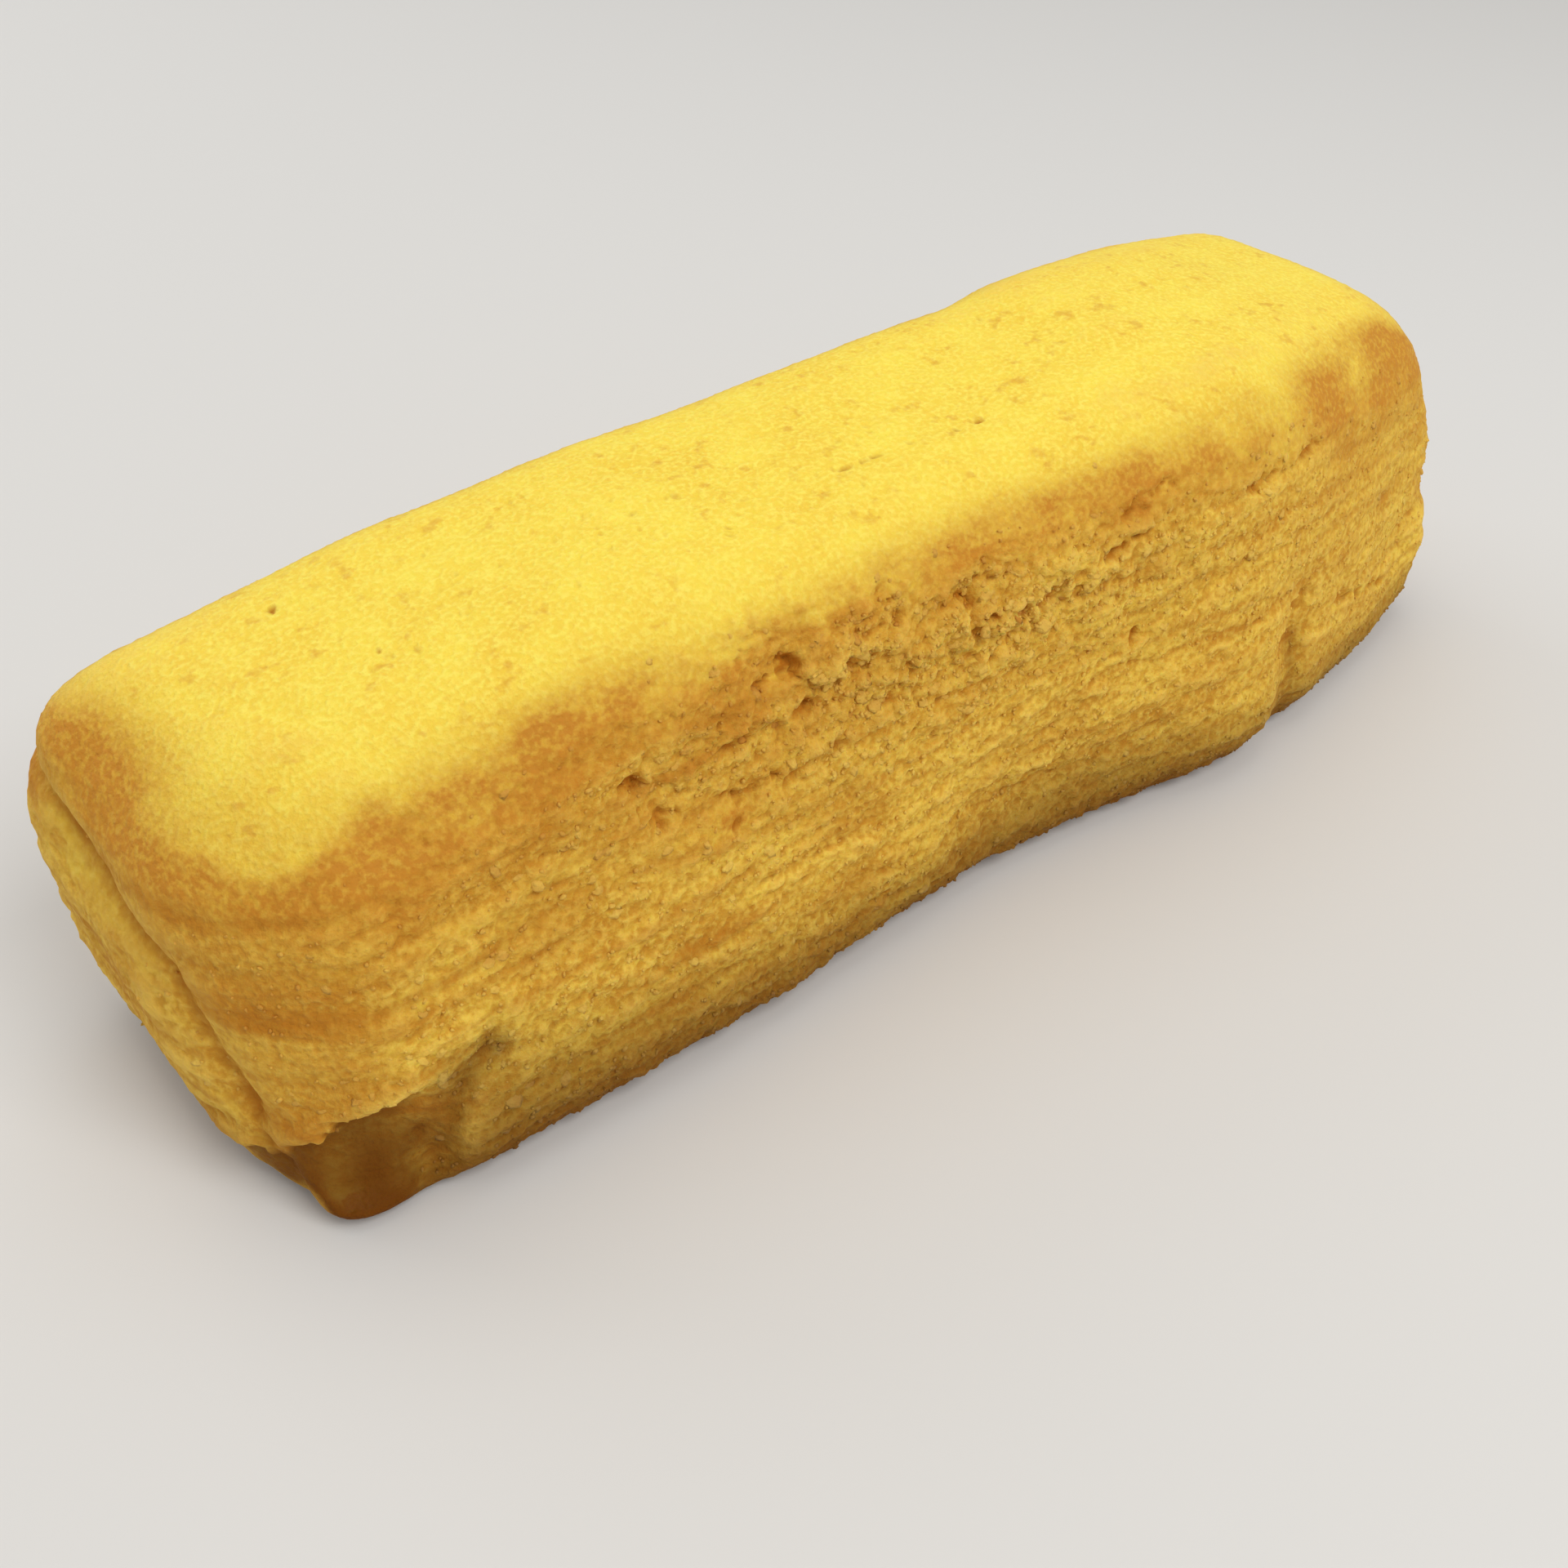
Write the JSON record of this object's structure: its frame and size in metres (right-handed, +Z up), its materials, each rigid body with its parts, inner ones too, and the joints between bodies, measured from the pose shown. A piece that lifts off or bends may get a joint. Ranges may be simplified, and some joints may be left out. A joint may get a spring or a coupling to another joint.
{
  "type": "baumkuchen stick",
  "caption": "Bar of layered baked cake with a smooth browned top, rounded ends and torn crumb sides that show its layers, lying on a flat underside.",
  "frame": {"origin": "on the resting plane, under the middle of the bar's bounding box", "axes": "+X along the bar, towards the end that lies further from the viewer, -Y out of the side with the torn crumb, +Z up"},
  "size_m": [0.137, 0.0432, 0.0405],
  "materials": {
    "sponge_cake": "soft baked cake, matte, with a yellow skin on top and open crumb on the sides"
  },
  "bodies": {
    "root": {"baumkuchen_stick": "sponge_cake"}
  },
  "joints": []
}
